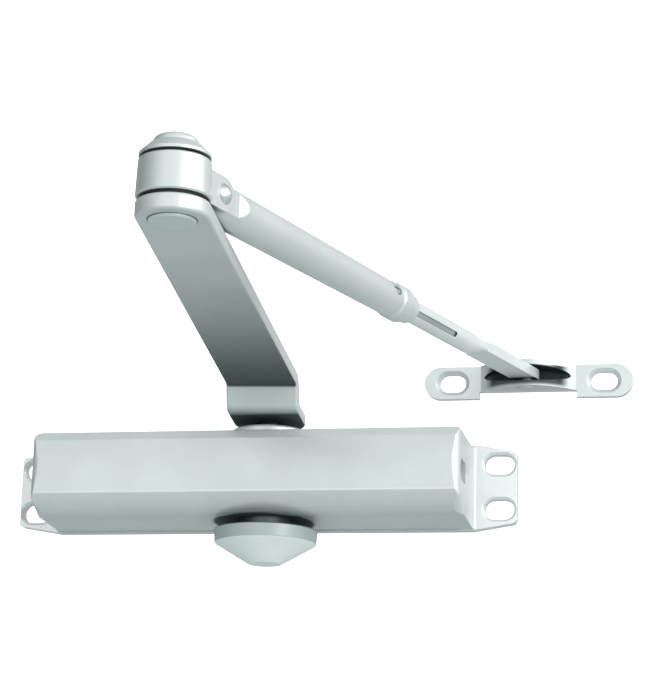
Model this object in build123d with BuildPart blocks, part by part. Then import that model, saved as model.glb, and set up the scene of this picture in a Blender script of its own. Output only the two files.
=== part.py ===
from build123d import *
from math import atan2, cos, degrees, hypot, pi, radians, sin, sqrt, tan
import os

# Surface-mounted rack-and-pinion door closer with a regular two-piece arm.
# Millimetres. The origin is the centre of the four slotted screw holes, on the plane of the
# door face. X runs along the body, -Y points away from the door and Z is up.
os.makedirs("parts", exist_ok=True)

# Body casting
body_half_length = 89.8
body_depth = 48.0
body_top = 17.0
body_bottom = -18.0
crease_height = -9.0
front_crown = 0.6
top_bevel = 3.0
top_bevel_drop = 3.8
underside_inset = 16.0
underside_front_height = -16.6
underside_bulge = 2.3
end_round = 3.5
end_top_round = 1.2
crease_round = 0.6
bevel_round = 0.8
edge_break = 0.5
pick_tolerance = 0.01

# Screw lugs at both ends of the casting
lug_length = 18.2
lug_thickness = 5.0
lug_root_top = 17.6
lug_root_bottom = -18.4
lug_end_top = 15.0
lug_end_bottom = -15.3
lug_corner = 2.0
lug_shoulder = 1.5
lug_root_round = 1.5

# Slotted screw holes in the lugs
slot_to_lug_end = 7.3
slot_pitch_z = 19.0
slot_length = 12.4
slot_width = 8.4
slot_countersink = 1.0

# Cylinder bored from the left end, closed at the right
cylinder_radius = 13.0
cylinder_height = -0.5
piston_end_gap = 4.0
piston_clearance = 0.08
thread_clearance = 0.04

# End plug of the cylinder
end_plug_radius = 13.8
end_plug_length = 10.0
end_plug_socket = 10.0
end_plug_socket_depth = 5.0
seal_thickness = 1.8
seal_bore_inset = 1.8

# Regulating screws in a recess of the right end
valve_recess_length = 17.0
valve_recess_width = 9.0
valve_recess_depth = 5.0
valve_recess_inset = 12.5
valve_recess_z = 0.4
valve_spacing = 9.0
valve_head_radius = 3.0
valve_head_length = 3.6
valve_stem_radius = 2.4
valve_end_wall = 5.4
valve_needle_length = 4.0
valve_clearance = 0.08
valve_driver_slot = 1.0
valve_bore_spare = 1.0

# Pinion
pinion_x = 6.0
gear_module = 1.25
tooth_count = 12
pinion_addendum = 1.05
pinion_dedendum = 1.2
rack_addendum = 0.8
rack_dedendum = 1.45
backlash = 0.3
pressure_angle = 20.0
gear_face = 13.0
journal_radius = 6.0
journal_clearance = 0.05
spindle_square = 9.6
spindle_recess = 0.2
opening_angle = 180.0

# Bearing plugs above and below the pinion
upper_flange_radius = 15.9
upper_flange_height = 3.5
upper_flange_edge = 0.8
upper_plug_radius = 12.0
lower_boss_radius = 11.0
lower_boss_drop = 7.0
lower_boss_floor = 2.5
journal_end_gap = 0.3
plug_sleeve_wall = 1.0
bushing_length = 6.0
pinion_seal_length = 3.0
seal_gap = 0.1
window_clearance = 0.4

# Piston
piston_head_length = 14.0
piston_web = 10.0
spring_pocket_radius = 11.2
spring_pocket_depth = 12.0
window_margin = 1.9
rack_lead_pitches = 1.5

# Check valve in the right head of the piston
check_bore_radius = 3.2
check_seat_radius = 1.6
check_ball_radius = 2.5
check_ball_play = 1.0
check_plug_length = 3.0

# Closing spring
spring_wire = 2.8
spring_mean_radius = 9.2
spring_turns = 12
spring_seat_gap = 0.2

# Conical spindle cap under the body
cap_radius = 21.5
cap_lower_radius = 21.1
cap_top = -21.2
cap_band = 5.7
cap_tip_radius = 6.8
cap_height = 14.2
cap_wall = 1.8
cap_collar_wall = 2.4
cap_web = 1.6
cap_round = 0.8

# Main arm, forged with an offset
arm_length = 246.0
arm_angle = -84.5
arm_thickness = 5.6
arm_hub_bottom = 23.5
arm_hub_thickness = 5.0
arm_underside = 33.8
arm_hub_radius = 15.0
arm_elbow_radius = 12.0
arm_riser_start = 19.5
arm_riser_run = 4.0
arm_outer_bend = 5.0
arm_inner_bend = 2.5
arm_brow_bend = 8.0
arm_edge = 1.0
arm_square_clearance = 0.1

# Arm screw
arm_washer_radius = 8.0
arm_washer_thickness = 1.5
arm_screw_radius = 3.0
arm_screw_length = 9.5
arm_screw_bore_spare = 0.5
arm_screw_hole_clearance = 0.2
arm_screw_head_flat = 10.0
arm_screw_head_height = 4.0

# Elbow
elbow_stud_radius = 4.0
elbow_stud_clearance = 0.06
elbow_foot_radius = 7.7
elbow_foot_thickness = 0.9
elbow_washer_radius = 10.4
elbow_washer_thickness = 1.1
knuckle_gap = 0.05
knuckle_radius = 12.1
knuckle_top_radius = 11.7
knuckle_height = 12.7
cap_seat_radius = 7.0
cap_seat_height = 0.9
elbow_cap_radius = 11.6
elbow_cap_top_radius = 8.3
elbow_cap_rim = 1.0
elbow_cap_height = 4.3
button_radius = 7.5
button_height = 2.9
button_round = 2.6

# Cheeks of the knuckle and the tilting pin
tilt_pin_reach = 18.2
tilt_pin_radius = 2.4
tilt_pin_clearance = 0.06
tilt_pin_head_radius = 3.5
tilt_pin_head_height = 1.9
tilt_pin_rivet_height = 1.0
tilt_pin_rivet_flare = 1.0
cheek_offset = 7.8
cheek_radius = 5.7
cheek_blend = 3.0
clevis_slot_start = 10.8
tongue_clearance = 0.25

# Forearm sleeve
sleeve_root_radius = 7.0
sleeve_radius = 6.3
sleeve_flat_offset = 5.6
sleeve_flat_end = 30.5
sleeve_flat_run_out = 4.7
sleeve_end = 158.0
sleeve_bore_start = 72.0
sleeve_lip_radius = 6.9
sleeve_lip_length = 9.0
sleeve_lip_taper = 1.0
sleeve_end_round = 2.4
sleeve_collar_length = 4.0
sleeve_collar_radius = 5.6
lock_screw_from_lip = 4.6
lock_screw_turn = 31.0
lock_screw_radius = 2.5
lock_screw_head_radius = 3.1
lock_screw_head_height = 0.9
lock_screw_seat = 4.8
lock_screw_seat_margin = 0.2
lock_screw_slot = 0.8

# Adjusting rod
rod_radius = 4.3
rod_clearance = 0.08
rod_overlap = 58.0
rod_groove_width = 2.2
rod_groove_depth = 0.9
rod_groove_length = 54.0
rod_groove_reach = 36.0
rod_groove_turn = -25.0
rod_paddle_from_pivot = 48.5
rod_paddle_width = 10.4
rod_paddle_thickness = 4.2
rod_blend_length = 9.0
rod_paddle_edge = 1.2

# Foot bracket
foot_pivot_x = 112.2
foot_standoff = 8.0
foot_ear_reach = 44.0
foot_ear_height = 14.0
foot_ear_thickness = 3.0
foot_ear_drop = 1.6
foot_bar_half = 20.5
foot_bar_height = 11.2
foot_lip_reach = 13.6
foot_lip_half = 9.5
foot_lip_nose = 2.3
foot_lip_slope = (0.9, -1)
foot_mouth_half = 18.2
foot_mouth_height = 7.0
foot_web = 2.4
foot_slot_pitch = 64.0
foot_slot_length = 11.0
foot_slot_width = 7.4
foot_slot_countersink = 1.7
foot_rivet_radius = 3.0
foot_rivet_clearance = 0.06
foot_rivet_head_radius = 4.4
foot_rivet_head_height = 1.2

# Places worked out from the sizes above
pinion_y = -body_depth / 2
underside_flat_depth = body_depth - underside_inset
lug_reach = body_half_length + lug_length
slot_pitch_x = 2 * (lug_reach - slot_to_lug_end)
pinion_axis = Axis((pinion_x, pinion_y, 0), (0, 0, 1))
pinion_side = Plane(origin=(pinion_x, pinion_y, 0), x_dir=(1, 0, 0), z_dir=(0, -1, 0))
pitch_radius = gear_module * tooth_count / 2
rack_pitch = pi * gear_module
piston_stroke = pitch_radius * radians(opening_angle)
piston_radius = cylinder_radius - piston_clearance
outer_radius = pitch_radius + pinion_addendum
window_left = pinion_x - outer_radius - window_margin
window_right = pinion_x + outer_radius + window_margin + piston_stroke
piston_left = window_left - piston_web - spring_pocket_depth
piston_right = window_right + piston_head_length
cylinder_blind_x = piston_right + piston_end_gap
valve_recess_y = valve_recess_inset - body_depth
valve_bore_end = cylinder_blind_x + valve_end_wall
valve_tip = body_half_length - valve_recess_depth - valve_bore_spare - valve_bore_end
valve_stem_end = valve_tip - valve_needle_length
upper_flange_top = body_top + upper_flange_height
lower_boss_bottom = body_bottom - lower_boss_drop

arm_dir = (cos(radians(arm_angle)), sin(radians(arm_angle)))
elbow_x = pinion_x + arm_length * arm_dir[0]
elbow_y = pinion_y + arm_length * arm_dir[1]
arm_plan = Plane(origin=(pinion_x, pinion_y, 0), x_dir=(*arm_dir, 0), z_dir=(0, 0, 1))
arm_side = Plane(
    origin=(pinion_x, pinion_y, 0), x_dir=(*arm_dir, 0), z_dir=(arm_dir[1], -arm_dir[0], 0)
)
arm_hub_top = arm_hub_bottom + arm_hub_thickness
arm_top = arm_underside + arm_thickness

elbow_axis = Axis((elbow_x, elbow_y, 0), (0, 0, 1))
elbow_side = Plane(origin=(elbow_x, elbow_y, 0), x_dir=(1, 0, 0), z_dir=(0, -1, 0))
knuckle_bottom = arm_top + elbow_washer_thickness + knuckle_gap
knuckle_top = knuckle_bottom + knuckle_height
forearm_height = knuckle_bottom + knuckle_height / 2
elbow_cap_bottom = knuckle_top + cap_seat_height
elbow_cap_top = elbow_cap_bottom + elbow_cap_height

foot_pivot_y = -foot_standoff
rod_reach = hypot(foot_pivot_x - elbow_x, foot_pivot_y - elbow_y)
forearm_angle = degrees(atan2(foot_pivot_y - elbow_y, foot_pivot_x - elbow_x))
forearm_dir = (cos(radians(forearm_angle)), sin(radians(forearm_angle)))
forearm_plan = Plane(
    origin=(elbow_x, elbow_y, forearm_height), x_dir=(*forearm_dir, 0), z_dir=(0, 0, 1)
)
forearm_axis = Axis((elbow_x, elbow_y, forearm_height), (*forearm_dir, 0))


def cylinder_cross(x):
    """Plane square to the cylinder at a place along the body."""
    return Plane(origin=(x, pinion_y, cylinder_height), x_dir=(0, 1, 0), z_dir=(1, 0, 0))


def forearm_facing(turn):
    """Plane along the forearm that faces the front side, turned up from level by an angle."""
    level = cos(radians(turn))
    return Plane(
        origin=(elbow_x, elbow_y, forearm_height),
        x_dir=(*forearm_dir, 0),
        z_dir=(forearm_dir[1] * level, -forearm_dir[0] * level, sin(radians(turn))),
    )


def forearm_cross(reach):
    """Plane square to the forearm at a distance from the elbow, its x level and its y up."""
    place = (
        elbow_x + reach * forearm_dir[0],
        elbow_y + reach * forearm_dir[1],
        forearm_height,
    )
    return Plane(origin=place, x_dir=(-forearm_dir[1], forearm_dir[0], 0), z_dir=(*forearm_dir, 0))


forearm_side = forearm_facing(0)
lock_screw_side = forearm_facing(lock_screw_turn)
rod_groove_side = forearm_facing(rod_groove_turn)


cylinder_end_plane = cylinder_cross(-body_half_length)

# Body casting: a tapered, crowned section with a lug plate along its back
with BuildPart() as body_casting:
    with BuildSketch(Plane.YZ.offset(-body_half_length)):
        with BuildLine():
            front_mid = (crease_height + body_top - top_bevel_drop) / 2
            lower_mid_y = -(body_depth - front_crown + underside_flat_depth) / 2 - underside_bulge
            lower_mid_z = (crease_height + underside_front_height) / 2 - underside_bulge
            Polyline(
                (-underside_flat_depth, underside_front_height),
                (0, body_bottom),
                (0, body_top),
                (top_bevel - body_depth, body_top),
                (front_crown - body_depth, body_top - top_bevel_drop),
            )
            ThreePointArc(
                (front_crown - body_depth, body_top - top_bevel_drop),
                (-body_depth, front_mid),
                (front_crown - body_depth, crease_height),
            )
            ThreePointArc(
                (front_crown - body_depth, crease_height),
                (lower_mid_y, lower_mid_z),
                (-underside_flat_depth, underside_front_height),
            )
        make_face()
    extrude(amount=2 * body_half_length)
    # ends rounded in plan towards the front, and in the front view towards the top
    with BuildSketch(Plane.XY.offset(body_bottom)):
        with Locations((0, -body_depth / 2)):
            Rectangle(2 * body_half_length, body_depth)
        fillet(vertices().group_by(Axis.Y)[0], radius=end_round)
    extrude(amount=body_top - body_bottom, mode=Mode.INTERSECT)
    with BuildSketch(Plane.XZ):
        with Locations((0, (body_top + body_bottom) / 2)):
            Rectangle(2 * body_half_length, body_top - body_bottom)
        fillet(vertices().group_by(Axis.Y)[-1].sort_by(Axis.X)[0], radius=end_round)
        fillet(vertices().group_by(Axis.Y)[-1].sort_by(Axis.X)[-1], radius=end_top_round)
    extrude(amount=body_depth, mode=Mode.INTERSECT)
    # the same rounding along the ends of the sloping lower face, seen along its slope
    slope_foot = (-underside_flat_depth, underside_front_height)
    slope_run = (slope_foot[0] - front_crown + body_depth, slope_foot[1] - crease_height)
    slope_length = hypot(*slope_run)
    slope_dir = (0, slope_run[0] / slope_length, slope_run[1] / slope_length)
    slope_rise = underside_bulge * (slope_dir[1] - slope_dir[2])
    slope_plane = Plane(origin=(0, *slope_foot), x_dir=(1, 0, 0), z_dir=slope_dir)
    with BuildSketch(slope_plane):
        with Locations((0, slope_rise - body_depth)):
            Rectangle(2 * body_half_length, 2 * body_depth)
        fillet(vertices().group_by(Axis.Y)[-1], radius=end_round)
    extrude(amount=2 * body_depth, both=True, mode=Mode.INTERSECT)
    # lug plate, slightly lower at its tips than at its roots
    with BuildSketch(Plane.XZ):
        with BuildLine():
            Polyline(
                (0, lug_root_bottom),
                (body_half_length, lug_root_bottom),
                (lug_reach, lug_end_bottom),
                (lug_reach, lug_end_top),
            )
            Spline(
                (lug_reach, lug_end_top),
                ((lug_reach + body_half_length) / 2, (lug_end_top + lug_root_top) / 2),
                (body_half_length + lug_shoulder, lug_root_top),
                tangents=((-1, 0), (-1, 0)),
            )
            Polyline(
                (body_half_length + lug_shoulder, lug_root_top),
                (0, lug_root_top),
                (0, lug_root_bottom),
            )
        make_face()
        mirror(about=Plane.YZ)
    extrude(amount=lug_thickness)
    tips = body_casting.edges().filter_by(Axis.Y).group_by(SortBy.LENGTH)[0]
    tip_corners = [e for e in tips if abs(e.center().X) > body_half_length]
    fillet(tip_corners, radius=lug_corner)
    # softened edges along the front, and the inner corners where the lugs leave the ends
    front_edges = [e for e in body_casting.edges().filter_by(Axis.X) if e.center().Y < -lug_thickness]
    fillet([e for e in front_edges if e.center().Z > 0], radius=bevel_round)
    front_edges = [e for e in body_casting.edges().filter_by(Axis.X) if e.center().Y < -lug_thickness]
    crease = [e for e in front_edges if abs(e.center().Z - crease_height) < pick_tolerance]
    fillet(crease, radius=crease_round)
    inner_corners = [
        e
        for e in body_casting.edges().filter_by(Axis.Z)
        if abs(abs(e.center().X) - body_half_length) < pick_tolerance
        and abs(e.center().Y + lug_thickness) < pick_tolerance
    ]
    fillet(inner_corners, radius=lug_root_round)
    # slotted holes, countersunk from the front
    with BuildSketch(Plane.XZ):
        with GridLocations(slot_pitch_x, slot_pitch_z, 2, 2):
            SlotOverall(slot_length, slot_width)
    extrude(amount=lug_thickness, mode=Mode.SUBTRACT)
    slot_rims = [
        e
        for e in body_casting.edges().filter_by_position(
            Axis.Y, -lug_thickness - pick_tolerance, -lug_thickness + pick_tolerance
        )
        if abs(abs(e.center().X) - slot_pitch_x / 2) < slot_length / 2
        and abs(abs(e.center().Z) - slot_pitch_z / 2) < slot_width / 2 + pick_tolerance
    ]
    chamfer(slot_rims, length=slot_countersink)
    # cylinder and the seat of its end plug
    with BuildSketch(cylinder_end_plane):
        Circle(cylinder_radius)
    extrude(amount=cylinder_blind_x + body_half_length, mode=Mode.SUBTRACT)
    with BuildSketch(cylinder_end_plane):
        Circle(end_plug_radius + thread_clearance)
    extrude(amount=end_plug_length + seal_thickness, mode=Mode.SUBTRACT)
    # seats of the two bearing plugs
    with BuildSketch(Plane.XY.offset(cylinder_height)):
        with Locations((pinion_x, pinion_y)):
            Circle(upper_plug_radius + thread_clearance)
    extrude(amount=upper_flange_top, mode=Mode.SUBTRACT)
    with BuildSketch(Plane.XY.offset(cylinder_height)):
        with Locations((pinion_x, pinion_y)):
            Circle(lower_boss_radius + thread_clearance)
    extrude(amount=lower_boss_bottom, mode=Mode.SUBTRACT)
    # recess and bores of the regulating screws in the right end
    valve_plane = Plane(
        origin=(body_half_length, valve_recess_y, valve_recess_z), x_dir=(0, 1, 0), z_dir=(1, 0, 0)
    )
    with BuildSketch(valve_plane):
        SlotOverall(valve_recess_length, valve_recess_width)
    extrude(amount=-valve_recess_depth, mode=Mode.SUBTRACT)
    with BuildSketch(valve_plane.offset(-valve_recess_depth)):
        with GridLocations(valve_spacing, 0, 2, 1):
            Circle(valve_head_radius + valve_clearance)
    extrude(amount=-valve_tip - valve_bore_spare, mode=Mode.SUBTRACT)
body_casting.part.label = "body_casting"
export_step(body_casting.part, "parts/body_casting.step")

# Regulating screws: sweep speed nearer the front, latching speed behind it
for name, side in (("sweep_valve_screw", -1), ("latch_valve_screw", 1)):
    head_face = (
        body_half_length - valve_recess_depth,
        valve_recess_y + side * valve_spacing / 2,
        valve_recess_z,
    )
    with BuildPart() as valve_screw:
        with BuildSketch(Plane(origin=head_face, x_dir=(-1, 0, 0), z_dir=(0, 1, 0))):
            with BuildLine():
                Polyline(
                    (0, 0),
                    (0, valve_head_radius),
                    (valve_head_length, valve_head_radius),
                    (valve_head_length, valve_stem_radius),
                    (valve_stem_end, valve_stem_radius),
                    (valve_tip, 0),
                    close=True,
                )
            make_face()
        revolve(axis=Axis(head_face, (1, 0, 0)))
        with BuildSketch(Plane(origin=head_face, x_dir=(0, 1, 0), z_dir=(1, 0, 0))):
            Rectangle(2 * valve_head_radius, valve_driver_slot)
        extrude(amount=-valve_driver_slot, mode=Mode.SUBTRACT)
    valve_screw.part.label = name
    export_step(valve_screw.part, f"parts/{name}.step")

# End plug with its hexagon socket and the seal ring behind it
with BuildPart() as cylinder_end_plug:
    with BuildSketch(cylinder_end_plane):
        Circle(end_plug_radius)
    extrude(amount=end_plug_length)
    chamfer(cylinder_end_plug.edges(), length=edge_break)
    with BuildSketch(cylinder_end_plane):
        RegularPolygon(end_plug_socket / 2, 6, major_radius=False)
    extrude(amount=end_plug_socket_depth, mode=Mode.SUBTRACT)
cylinder_end_plug.part.label = "cylinder_end_plug"
export_step(cylinder_end_plug.part, "parts/cylinder_end_plug.step")

with BuildPart() as end_plug_seal:
    with BuildSketch(cylinder_end_plane.offset(end_plug_length)):
        Circle(end_plug_radius)
        Circle(cylinder_radius - seal_bore_inset, mode=Mode.SUBTRACT)
    extrude(amount=seal_thickness)
end_plug_seal.part.label = "end_plug_seal"
export_step(end_plug_seal.part, "parts/end_plug_seal.step")

# Bearing plugs: a wide flange above the body, a plain boss below it
bearing_gap = gear_face / 2 + window_clearance
pinion_seal_end = bushing_length + pinion_seal_length
upper_bearing_base = cylinder_height + bearing_gap
lower_bearing_base = cylinder_height - bearing_gap
plug_shoulder = cylinder_height + piston_radius + window_clearance
plug_sleeve_radius = pitch_radius + rack_dedendum - window_clearance
bushing_radius = plug_sleeve_radius - plug_sleeve_wall
with BuildPart() as upper_bearing_plug:
    with BuildSketch(pinion_side):
        with BuildLine():
            Polyline(
                (journal_radius + seal_gap, upper_flange_top),
                (upper_flange_radius - upper_flange_edge, upper_flange_top),
                (upper_flange_radius, upper_flange_top - upper_flange_edge),
                (upper_flange_radius, body_top),
                (upper_plug_radius, body_top),
                (upper_plug_radius, plug_shoulder),
                (plug_sleeve_radius, plug_shoulder),
                (plug_sleeve_radius, upper_bearing_base),
                (bushing_radius, upper_bearing_base),
                (bushing_radius, upper_bearing_base + pinion_seal_end),
                (journal_radius + seal_gap, upper_bearing_base + pinion_seal_end),
                close=True,
            )
        make_face()
    revolve(axis=pinion_axis)
upper_bearing_plug.part.label = "upper_bearing_plug"
export_step(upper_bearing_plug.part, "parts/upper_bearing_plug.step")

lower_shoulder = cylinder_height - piston_radius - window_clearance
with BuildPart() as lower_bearing_plug:
    with BuildSketch(pinion_side):
        with BuildLine():
            Polyline(
                (0, lower_boss_bottom),
                (lower_boss_radius, lower_boss_bottom),
                (lower_boss_radius, lower_shoulder),
                (plug_sleeve_radius, lower_shoulder),
                (plug_sleeve_radius, lower_bearing_base),
                (bushing_radius, lower_bearing_base),
                (bushing_radius, lower_bearing_base - pinion_seal_end),
                (journal_radius + seal_gap, lower_bearing_base - pinion_seal_end),
                (journal_radius + seal_gap, lower_boss_bottom + lower_boss_floor),
                (0, lower_boss_bottom + lower_boss_floor),
                close=True,
            )
        make_face()
    revolve(axis=pinion_axis)
lower_bearing_plug.part.label = "lower_bearing_plug"
export_step(lower_bearing_plug.part, "parts/lower_bearing_plug.step")

# Bushings and seal rings inside both plugs
for name, start, length, inner in (
    ("upper_bushing", upper_bearing_base, bushing_length, journal_radius + journal_clearance),
    (
        "upper_seal",
        upper_bearing_base + bushing_length,
        pinion_seal_length,
        journal_radius + seal_gap,
    ),
    ("lower_bushing", lower_bearing_base, -bushing_length, journal_radius + journal_clearance),
    (
        "lower_seal",
        lower_bearing_base - bushing_length,
        -pinion_seal_length,
        journal_radius + seal_gap,
    ),
):
    with BuildPart() as ring:
        with BuildSketch(Plane.XY.offset(start)):
            with Locations((pinion_x, pinion_y)):
                Circle(bushing_radius - thread_clearance)
                Circle(inner, mode=Mode.SUBTRACT)
        extrude(amount=length)
    ring.part.label = name
    export_step(ring.part, f"parts/{name}.step")


# Pinion: involute teeth between two journals, with a square spindle end for the arm
def involute_flank(base, start, end, steps=4):
    """Points of an involute of a base circle between two radii, as (radius, turned angle)."""
    points = []
    for i in range(steps + 1):
        radius = start + (end - start) * i / steps
        roll = sqrt(max((radius / base) ** 2 - 1, 0))
        points.append((radius, roll - atan2(roll, 1)))
    return points


base_radius = pitch_radius * cos(radians(pressure_angle))
root_radius = pitch_radius - pinion_dedendum
pitch_roll = tan(radians(pressure_angle)) - radians(pressure_angle)
tooth_half = (pi * gear_module / 2 - backlash) / 2 / pitch_radius
flank = [(root_radius, 0.0), *involute_flank(base_radius, base_radius, outer_radius)]
flank_angles = [(r, tooth_half + pitch_roll - a) for r, a in flank]
tooth_outline = []
for index in range(tooth_count):
    middle = pi / 2 + 2 * pi * index / tooth_count
    for radius, half in flank_angles:
        tooth_outline.append((radius * cos(middle - half), radius * sin(middle - half)))
    for radius, half in reversed(flank_angles):
        tooth_outline.append((radius * cos(middle + half), radius * sin(middle + half)))

spindle_top = arm_hub_top - spindle_recess
journal_bottom = lower_boss_bottom + lower_boss_floor + journal_end_gap
with BuildPart() as pinion_shaft:
    with BuildSketch(Plane.XY.offset(cylinder_height - gear_face / 2)):
        with Locations((pinion_x, pinion_y)):
            Polygon(*tooth_outline, align=None)
    extrude(amount=gear_face)
    with BuildSketch(Plane.XY.offset(journal_bottom)):
        with Locations((pinion_x, pinion_y)):
            Circle(journal_radius)
    extrude(amount=arm_hub_bottom - journal_bottom)
    with BuildSketch(arm_plan.offset(arm_hub_bottom)):
        Rectangle(spindle_square, spindle_square)
    extrude(amount=spindle_top - arm_hub_bottom)
    with BuildSketch(Plane.XY.offset(spindle_top)):
        with Locations((pinion_x, pinion_y)):
            Circle(arm_screw_radius + thread_clearance)
    extrude(amount=-arm_screw_length - arm_screw_bore_spare, mode=Mode.SUBTRACT)
pinion_shaft.part.label = "pinion_shaft"
export_step(pinion_shaft.part, "parts/pinion_shaft.step")

# Piston: two heads joined by a windowed body, with the rack along the back of the window
rack_line = pinion_y + pitch_radius
rack_root = rack_line + rack_dedendum
window_front = pinion_y - outer_radius - window_clearance
with BuildPart() as piston:
    with BuildSketch(cylinder_cross(piston_left)):
        Circle(piston_radius)
    extrude(amount=piston_right - piston_left)
    with BuildSketch(Plane.XY.offset(cylinder_height - piston_radius)):
        with BuildLine():
            Polyline(
                (window_left, window_front),
                (window_right, window_front),
                (window_right, rack_root),
                (window_left, rack_root),
                close=True,
            )
        make_face()
    extrude(amount=2 * piston_radius, mode=Mode.SUBTRACT)
    # straight-sided rack teeth, with a gap where the pinion's first tooth stands at rest
    half_root = rack_pitch / 4 - backlash / 4 + rack_dedendum * tan(radians(pressure_angle))
    half_tip = rack_pitch / 4 - backlash / 4 - rack_addendum * tan(radians(pressure_angle))
    with BuildSketch(Plane.XY.offset(cylinder_height - gear_face / 2)):
        rack_start = pinion_x - rack_lead_pitches * rack_pitch
        for index in range(int((window_right - rack_start) / rack_pitch)):
            tooth_x = rack_start + index * rack_pitch
            with BuildLine():
                Polyline(
                    (tooth_x - half_root, rack_root),
                    (tooth_x - half_tip, rack_line - rack_addendum),
                    (tooth_x + half_tip, rack_line - rack_addendum),
                    (tooth_x + half_root, rack_root),
                    close=True,
                )
            make_face()
    extrude(amount=gear_face)
    # pocket that guides the spring, and the bore and seat of the check valve
    with BuildSketch(cylinder_cross(piston_left)):
        Circle(spring_pocket_radius)
    extrude(amount=spring_pocket_depth, mode=Mode.SUBTRACT)
    with BuildSketch(cylinder_cross(piston_right)):
        Circle(check_bore_radius)
    check_depth = check_plug_length + 2 * check_ball_radius + check_ball_play
    extrude(amount=-check_depth, mode=Mode.SUBTRACT)
    with BuildSketch(cylinder_cross(piston_right)):
        Circle(check_seat_radius)
    extrude(amount=-piston_head_length, mode=Mode.SUBTRACT)
piston.part.label = "piston"
export_step(piston.part, "parts/piston.step")

check_ball_x = piston_right - check_plug_length - check_ball_radius - check_ball_play / 2
with BuildPart() as check_ball:
    with Locations((check_ball_x, pinion_y, cylinder_height)):
        Sphere(check_ball_radius)
check_ball.part.label = "check_ball"
export_step(check_ball.part, "parts/check_ball.step")

with BuildPart() as check_valve_plug:
    with BuildSketch(cylinder_cross(piston_right)):
        Circle(check_bore_radius - thread_clearance)
        Circle(check_seat_radius, mode=Mode.SUBTRACT)
    extrude(amount=-check_plug_length)
check_valve_plug.part.label = "check_valve_plug"
export_step(check_valve_plug.part, "parts/check_valve_plug.step")


# Closing spring: one wire wound on pairs of tangent arcs, two arcs to each quarter turn
def spring_point(angle, start_x, lead):
    """Point of the spring's centre line at an angle, for a lead in mm per turn."""
    return Vector(
        start_x + lead * angle / (2 * pi),
        pinion_y + spring_mean_radius * cos(angle),
        cylinder_height + spring_mean_radius * sin(angle),
    )


def spring_tangent(angle, lead):
    """Direction of the spring's centre line at an angle."""
    return Vector(
        lead / (2 * pi),
        -spring_mean_radius * sin(angle),
        spring_mean_radius * cos(angle),
    ).normalized()


def arc_pair(start, start_dir, end, end_dir):
    """Two arcs that leave and arrive along the given directions, as their middle point."""
    across = end - start
    both = start_dir + end_dir
    turn = 2 * (start_dir.dot(end_dir) - 1)
    slope = -2 * across.dot(both)
    reach = (-slope - sqrt(slope**2 - 4 * turn * across.dot(across))) / (2 * turn)
    return (start + start_dir * reach + end - end_dir * reach) * 0.5


spring_left = -body_half_length + end_plug_length + seal_thickness + spring_wire / 2 + spring_seat_gap
spring_right = piston_left + spring_pocket_depth - spring_wire / 2 - spring_seat_gap
spring_lead = (spring_right - spring_left) / spring_turns
quarter = pi / 2
with BuildPart() as closing_spring:
    with BuildLine() as spring_path:
        for step in range(4 * spring_turns):
            a0 = step * quarter
            a1 = a0 + quarter
            p0 = spring_point(a0, spring_left, spring_lead)
            p1 = spring_point(a1, spring_left, spring_lead)
            t0 = spring_tangent(a0, spring_lead)
            middle = arc_pair(p0, t0, p1, spring_tangent(a1, spring_lead))
            first_arc = TangentArc(p0, middle, tangent=t0)
            TangentArc(middle, p1, tangent=first_arc % 1)
    with BuildSketch(Plane(origin=spring_path.line @ 0, z_dir=spring_path.line % 0)):
        Circle(spring_wire / 2)
    sweep(path=spring_path.line)
closing_spring.part.label = "closing_spring"
export_step(closing_spring.part, "parts/closing_spring.step")

# the wire's gap to itself, measured between points of its centre line over half a turn apart
samples_per_turn = 24
spring_wire_line = spring_path.wire()
wire_length = spring_wire_line.length
sample_count = samples_per_turn * spring_turns
wire_points = [spring_wire_line @ (i / sample_count) for i in range(sample_count + 1)]
least_distance = min(
    (wire_points[i] - wire_points[j]).length
    for i in range(len(wire_points))
    for j in range(i + samples_per_turn // 2, min(i + 2 * samples_per_turn, len(wire_points)))
)
print("spring wire length", round(wire_length, 2), "mm")
print("spring gap between turns", round(least_distance - spring_wire, 2), "mm")
wire_volume = pi * spring_wire**2 / 4 * wire_length
print("spring volume against its wire", round(closing_spring.part.volume / wire_volume, 4))

# Conical cap pressed on the lower boss
cap_band_bottom = cap_top - cap_band
cap_bottom = cap_top - cap_height
cap_collar_radius = lower_boss_radius + cap_collar_wall
with BuildPart() as spindle_cap:
    with BuildSketch(pinion_side):
        with BuildLine():
            Polyline(
                (cap_radius - edge_break, cap_top),
                (cap_radius, cap_top - edge_break),
                (cap_lower_radius, cap_band_bottom),
                (cap_tip_radius, cap_bottom),
                (0, cap_bottom),
                (0, cap_bottom + cap_wall),
                (cap_tip_radius, cap_bottom + cap_wall),
                (lower_boss_radius, lower_boss_bottom - cap_web),
                (lower_boss_radius, cap_top),
                (cap_collar_radius, cap_top),
                (cap_collar_radius, lower_boss_bottom),
                (cap_lower_radius - cap_wall, lower_boss_bottom),
                (cap_radius - cap_wall, cap_top),
                close=True,
            )
        make_face()
        cone_corners = ((cap_lower_radius, cap_band_bottom), (cap_tip_radius, cap_bottom))
        for out, height in cone_corners:
            fillet(
                [v for v in vertices() if hypot(v.X - out, v.Y - height) < pick_tolerance],
                radius=cap_round,
            )
    revolve(axis=pinion_axis)
spindle_cap.part.label = "spindle_cap"
export_step(spindle_cap.part, "parts/spindle_cap.step")

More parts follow.
